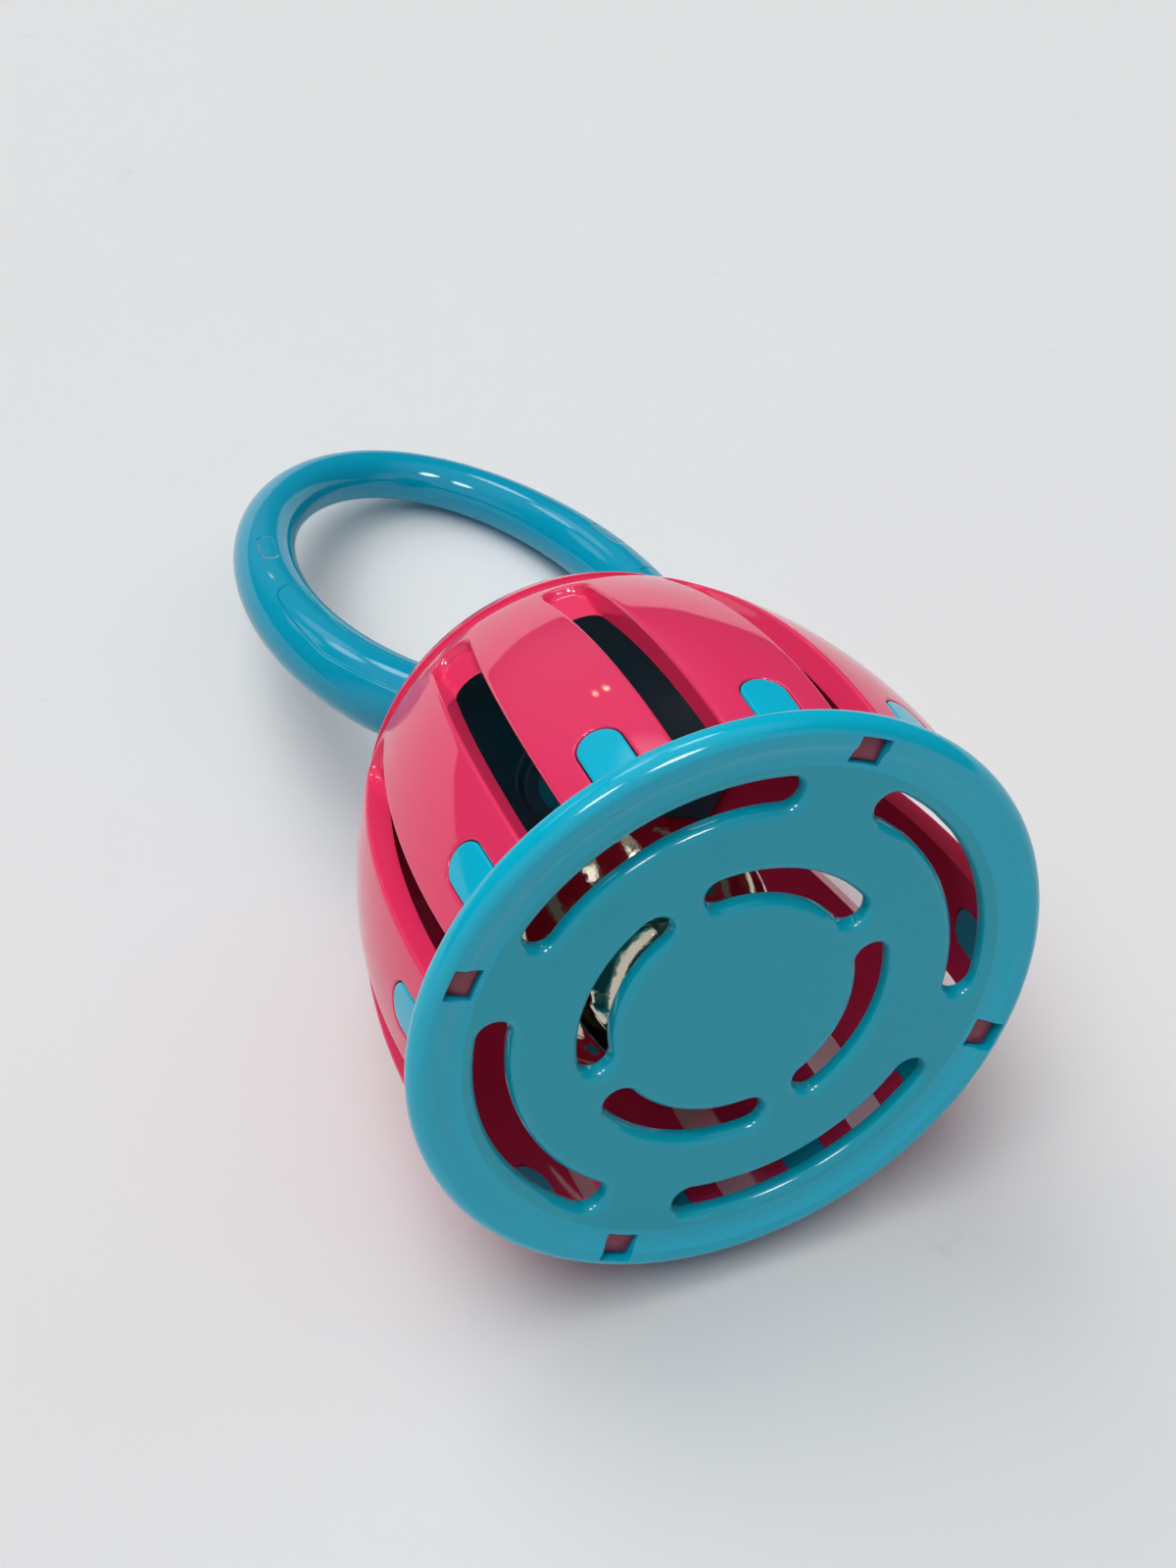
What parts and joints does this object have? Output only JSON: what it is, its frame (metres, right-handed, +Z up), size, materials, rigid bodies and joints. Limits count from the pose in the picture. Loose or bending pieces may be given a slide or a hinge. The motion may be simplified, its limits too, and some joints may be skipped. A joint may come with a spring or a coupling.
{
  "type": "cage bell rattle",
  "caption": "Baby's hand rattle: a slotted plastic dome with an oval loop handle and a slotted base plate locked into it, trapping a loose round jingle bell.",
  "frame": {"origin": "centre of the circle that the base plate's rim stands on", "axes": "+Z up along the axis of the dome through the handle; +X through a lock window of the base plate; the loop of the handle lies nearly in the XZ plane"},
  "size_m": [0.0802, 0.0802, 0.1362],
  "materials": {
    "pink_plastic": "injection moulded, polished",
    "turquoise_plastic": "injection moulded, polished",
    "plated_steel": "pressed sheet, nickel plated",
    "bare_steel": "bare steel ball"
  },
  "bodies": {
    "cage": {"cage_dome": "pink_plastic", "base_plate": "turquoise_plastic", "handle": "turquoise_plastic", "handle_retainer": "turquoise_plastic"},
    "bell": {"bell_upper_shell": "plated_steel", "bell_lower_shell": "plated_steel", "bell_loop": "plated_steel"},
    "pellet": {"bell_pellet": "bare_steel"}
  },
  "joints": [
    {"name": "bell_slide", "type": "slide", "parent": "cage", "child": "bell", "axis": [0, 0, 1], "range_m": [0, 0.0105]},
    {"name": "pellet_slide", "type": "slide", "parent": "bell", "child": "pellet", "axis": [0, 0, 1], "range_m": [0, 0.0218]}
  ]
}
